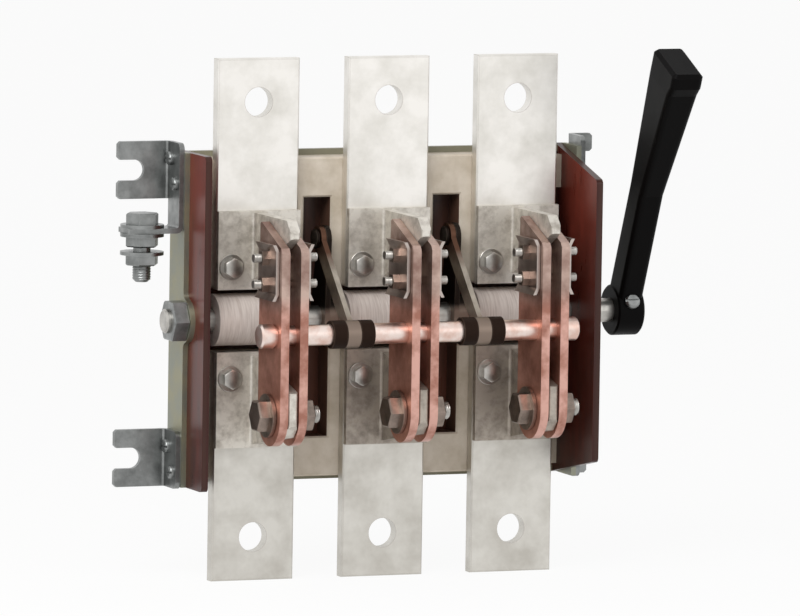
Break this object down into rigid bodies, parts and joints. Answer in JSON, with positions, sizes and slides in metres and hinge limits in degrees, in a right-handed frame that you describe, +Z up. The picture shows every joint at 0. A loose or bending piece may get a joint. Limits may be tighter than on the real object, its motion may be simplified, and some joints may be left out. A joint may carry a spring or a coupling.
{
  "type": "three-pole knife-type disconnector switch",
  "caption": "Open low-voltage knife disconnector with copper blade pairs, tinned bar terminals, insulating barriers and a side lever.",
  "frame": {"origin": "middle of the flat back, on the wall, level with the lever's shaft", "axes": "+X along the shaft towards the lever, +Y into the wall, +Z up"},
  "size_m": [0.317, 0.1128, 0.3065],
  "materials": {
    "tinned_copper": "satin tin plating over copper",
    "contact_metal": "dull tinned copper alloy",
    "blade_copper": "satin rolled copper",
    "moulded_base": "pressed thermoset moulding",
    "laminate": "lacquered paper laminate",
    "side_steel": "passivated zinc plate, dull",
    "zinc_steel": "zinc plated",
    "spring_steel": "bright spring strip",
    "sleeve_tube": "pale insulating tube",
    "black_moulding": "black moulded thermoset",
    "dark_steel": "black oxide"
  },
  "bodies": {
    "frame": {"back_panel": "laminate", "upper_base": "moulded_base", "lower_base": "moulded_base", "left_barrier": "laminate", "right_barrier": "laminate", "left_cheek": "side_steel", "right_cheek": "side_steel", "earthing_bolt": "zinc_steel", "earthing_nut": "zinc_steel", "upper_left_bracket": "zinc_steel", "upper_right_bracket": "zinc_steel", "lower_left_bracket": "zinc_steel", "lower_right_bracket": "zinc_steel", "upper_terminal_1": "tinned_copper", "lower_terminal_1": "tinned_copper", "upper_contact_1": "contact_metal", "lower_contact_1": "contact_metal", "pivot_bolt_1": "zinc_steel", "upper_terminal_2": "tinned_copper", "lower_terminal_2": "tinned_copper", "upper_contact_2": "contact_metal", "lower_contact_2": "contact_metal", "pivot_bolt_2": "zinc_steel", "upper_terminal_3": "tinned_copper", "lower_terminal_3": "tinned_copper", "upper_contact_3": "contact_metal", "lower_contact_3": "contact_metal", "pivot_bolt_3": "zinc_steel"},
    "shaft": {"drive_shaft": "zinc_steel", "shaft_nut": "zinc_steel", "shaft_sleeve_1": "sleeve_tube", "shaft_sleeve_2": "sleeve_tube", "shaft_sleeve_3": "sleeve_tube", "crank_1": "dark_steel", "crank_2": "dark_steel", "lever": "black_moulding"},
    "blade_set": {"blades_1": "blade_copper", "blades_2": "blade_copper", "blades_3": "blade_copper", "contact_springs_1": "spring_steel", "contact_springs_2": "spring_steel", "contact_springs_3": "spring_steel", "spring_bolt_1": "zinc_steel", "spring_bolt_2": "zinc_steel", "spring_bolt_3": "zinc_steel", "rod_1": "tinned_copper", "rod_2": "tinned_copper", "rod_3": "tinned_copper", "coupling_1": "black_moulding", "coupling_2": "black_moulding"},
    "links": {"link_1": "side_steel", "link_2": "side_steel"}
  },
  "joints": [
    {"name": "shaft_turn", "type": "hinge", "parent": "frame", "child": "shaft", "pos_m": [0, -0.022, 0], "axis": [1, 0, 0], "range_deg": [0, 60]},
    {"name": "blade_turn", "type": "hinge", "parent": "frame", "child": "blade_set", "pos_m": [0, -0.072, -0.05], "axis": [1, 0, 0], "range_deg": [0, 60]},
    {"name": "link_turn", "type": "hinge", "parent": "shaft", "child": "links", "pos_m": [0, -0.028, 0.046], "axis": [1, 0, 0], "range_deg": [-60, 0]}
  ],
  "couplings": [
    {"joint": "blade_turn", "follows": "shaft_turn", "ratio": 1},
    {"joint": "link_turn", "follows": "shaft_turn", "ratio": -1}
  ]
}
